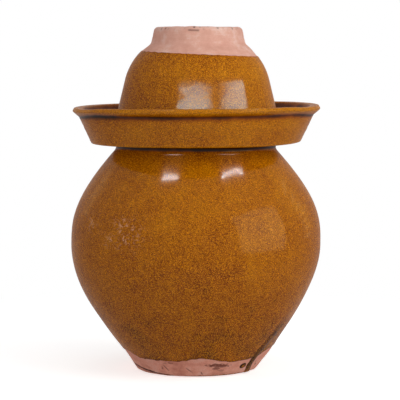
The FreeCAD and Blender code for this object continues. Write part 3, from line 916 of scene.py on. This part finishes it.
FLOOR_REACH = 3.0
FLOOR_Z = -0.0002
FLOOR_LIFT = 0.56
FLOOR_BOUNCE = 0.42
SHADOW_REACH = (0.22, 0.50)
BACKDROP_Y = 3.2
BACKDROP_HALF = 0.60
AMBIENT = 0.48
WHITE = (1, 1, 1, 1)


def stage_plane(name, corners, material):
    """A flat card of the studio, which isn't part of the object."""
    mesh = bpy.data.meshes.new(name)
    mesh.from_pydata(corners, [], [(0, 1, 2, 3)])
    mesh.materials.append(material)
    plane = bpy.data.objects.new(name, mesh)
    bpy.context.scene.collection.objects.link(plane)


def shown_to(add):
    """1 for the camera's rays and for those seen in gloss or through glass, so that all of them
    see the same background. The second value is 1 for the rays of diffuse light."""
    path = add.tree.nodes.new("ShaderNodeLightPath")
    seen = add.math("ADD", path.outputs["Is Camera Ray"], path.outputs["Is Glossy Ray"], clamp=True)
    seen = add.math("ADD", seen, path.outputs["Is Transmission Ray"], clamp=True)
    return seen, path.outputs["Is Diffuse Ray"]


def floor_material():
    """A pale floor that keeps the object's shadow, fades into white further out, and gives the
    object a plain, even light back."""
    material = bpy.data.materials.new("floor")
    material.use_nodes = True
    add = Nodes(material.node_tree)
    seen, diffuse = shown_to(add)
    place = add("ShaderNodeTexCoord", out=3)
    away = add("ShaderNodeVectorMath", {0: place}, out=1, operation="LENGTH")
    far = add("ShaderNodeMapRange", {0: away, 1: SHADOW_REACH[0], 2: SHADOW_REACH[1]},
              interpolation_type="SMOOTHSTEP")
    pale = add("ShaderNodeBsdfDiffuse", {"Color": (0.95, 0.95, 0.95, 1)})
    white = add("ShaderNodeEmission", {"Color": WHITE, "Strength": 1.0})
    lift = add("ShaderNodeEmission", {"Color": WHITE, "Strength": FLOOR_LIFT})
    near = add("ShaderNodeAddShader", {0: pale, 1: lift})
    shown = add("ShaderNodeMixShader", {0: far, 1: near, 2: white})
    dark = add("ShaderNodeBsdfDiffuse", {"Color": (0.06, 0.055, 0.05, 1)})
    bounce = add("ShaderNodeEmission", {"Color": WHITE, "Strength": FLOOR_BOUNCE})
    given = add("ShaderNodeMixShader", {0: diffuse, 1: dark, 2: bounce})
    surface = add("ShaderNodeMixShader", {0: seen, 1: given, 2: shown})
    add("ShaderNodeOutputMaterial", {"Surface": surface})
    return material


def backdrop_material():
    """White to the camera, in gloss and through glass, and dark to anything it would light."""
    material = bpy.data.materials.new("backdrop")
    material.use_nodes = True
    add = Nodes(material.node_tree)
    seen, _ = shown_to(add)
    white = add("ShaderNodeEmission", {"Color": WHITE, "Strength": 1.0})
    dark = add("ShaderNodeBsdfDiffuse", {"Color": (0.02, 0.02, 0.02, 1)})
    surface = add("ShaderNodeMixShader", {0: seen, 1: dark, 2: white})
    add("ShaderNodeOutputMaterial", {"Surface": surface})
    return material


def studio_world():
    """White to the same rays as the backdrop, and a dimmer, even light on the object."""
    world = bpy.data.worlds.new("studio")
    world.use_nodes = True
    add = Nodes(world.node_tree)
    seen, _ = shown_to(add)
    strength = add("ShaderNodeMix", {0: seen, 2: AMBIENT, 3: 1.0})
    back = add("ShaderNodeBackground", {"Color": WHITE, "Strength": strength})
    add("ShaderNodeOutputWorld", {"Surface": back})
    return world


SQUARE = [(-1, -1), (1, -1), (1, 1), (-1, 1)]
stage_plane("floor", [(x * FLOOR_REACH, y * FLOOR_REACH, FLOOR_Z) for x, y in SQUARE], floor_material())
stage_plane("backdrop", [(x * BACKDROP_HALF, BACKDROP_Y, z * BACKDROP_HALF) for x, z in SQUARE],
            backdrop_material())
bpy.context.scene.world = studio_world()

# ---------------------------------------------------------------- lights

MIDDLE = Vector((0, 0, 0.16))


def group_of(names):
    """A group of pieces, for a lamp to shine on or be blocked by these alone."""
    group = bpy.data.collections.new("only_" + names[0])
    for name in names:
        group.objects.link(bpy.data.objects[name])
    return group


def direction(azimuth, elevation):
    """Towards a place in the studio: azimuth 0 is the camera's side, 90 is +X."""
    a, e = math.radians(azimuth), math.radians(elevation)
    return Vector((math.sin(a) * math.cos(e), -math.cos(a) * math.cos(e), math.sin(e)))


def lamp(name, azimuth, elevation, distance, width, height, power, tint=(1, 1, 1),
         in_gloss=True, in_fill=True, only=None):
    """A flat soft light that faces the object from a direction, its long sides level."""
    data = bpy.data.lights.new(name, "AREA")
    data.shape = "RECTANGLE"
    data.size, data.size_y = width, height
    data.energy = power
    data.color = tint
    light = bpy.data.objects.new(name, data)
    way = direction(azimuth, elevation)
    light.location = MIDDLE + way * distance
    light.rotation_euler = way.to_track_quat("Z", "Y").to_euler()
    light.visible_glossy = in_gloss
    light.visible_diffuse = in_fill
    if only:
        light.light_linking.receiver_collection = group_of(only)
    bpy.context.scene.collection.objects.link(light)
    return light


def tube(name, first, last, distance, thickness, power, only):
    """A narrow light from one direction to another, seen in the gloss alone. The trough would
    shade it from the shoulder, so next to nothing blocks it."""
    start, end = (MIDDLE + direction(*way) * distance for way in (first, last))
    light = lamp(name, 0, 0, distance, (end - start).length, thickness, power, in_fill=False, only=only)
    light.light_linking.blocker_collection = group_of(("lid_clay_ring",))
    along = (end - start).normalized()
    centre = (start + end) / 2
    across = (centre - MIDDLE).cross(along).normalized()
    light.rotation_euler = Matrix((along, across, along.cross(across))).transposed().to_euler()
    light.location = centre


JAR = ("crock_glaze", "crock_clay_foot")
LID = ("lid_glaze", "lid_clay_ring")
DAYLIGHT = (0.70, 0.97, 1.0)
WARM = (1.0, 0.60, 0.20)
HAZE = (1.0, 0.86, 0.50)

# azimuth, elevation, distance, width, height, power, tint
lamp("key", 56, 30, 1.6, 1.3, 1.1, 8.3, in_gloss=False)
lamp("front", 22, 2, 1.6, 1.2, 0.5, 5.5, in_gloss=False)
lamp("fill", -70, 14, 1.8, 1.4, 1.2, 2.5, in_gloss=False)
lamp("window_left", -3, 24.6, 1.5, 1.34, 0.18, 21.5, DAYLIGHT, in_fill=False, only=LID)
lamp("window_right", 53.0, 23.1, 1.5, 1.34, 0.125, 12.5, DAYLIGHT, in_fill=False, only=LID)
lamp("bowl_light", 26, 24, 1.5, 2.4, 0.16, 6.6, DAYLIGHT, in_gloss=False, only=LID)
for pane in range(3):  # a haze at the belly's right, brightest in the middle
    across = 1.35 - 0.35 * pane
    lamp(f"pane_{pane}", 63, 10, 1.5, across, across, 15.5 * across, HAZE, in_fill=False, only=JAR)
# one end, other end, distance, thickness, power
tube("strip_left", (-62, 60), (-36, 65), 1.2, 0.036, 5.2, JAR)
tube("strip_right", (47, 60.8), (81, 52.2), 1.2, 0.026, 5.7, JAR)
lamp("side_left", -131, 17, 1.4, 0.30, 0.45, 0.9, WARM, in_fill=False, only=JAR)
for rung in range(7):  # a barred light down the right side
    lamp(f"rung_{rung}", 119, 28 - 5.1 * rung, 1.4, 0.30, 0.060, 0.27, WARM, in_fill=False, only=JAR)

# ---------------------------------------------------------------- camera

CAMERA_DISTANCE = 1.721
CAMERA_HEIGHT = 0.2963
CAMERA_SIDE = 0.0035
CAMERA_DOWN = math.radians(4.887)
CAMERA_LENS = 175.8  # millimetres, and so is the sensor
CAMERA_SENSOR = 36

camera_data = bpy.data.cameras.new("camera")
camera_data.lens = CAMERA_LENS
camera_data.sensor_width = CAMERA_SENSOR
camera_data.clip_start = 0.1
camera_data.clip_end = 20
camera = bpy.data.objects.new("camera", camera_data)
camera.location = (CAMERA_SIDE, -CAMERA_DISTANCE, CAMERA_HEIGHT)
camera.rotation_euler = (math.pi / 2 - CAMERA_DOWN, 0, 0)
bpy.context.scene.collection.objects.link(camera)
bpy.context.scene.camera = camera

bpy.context.scene.view_settings.view_transform = "Standard"
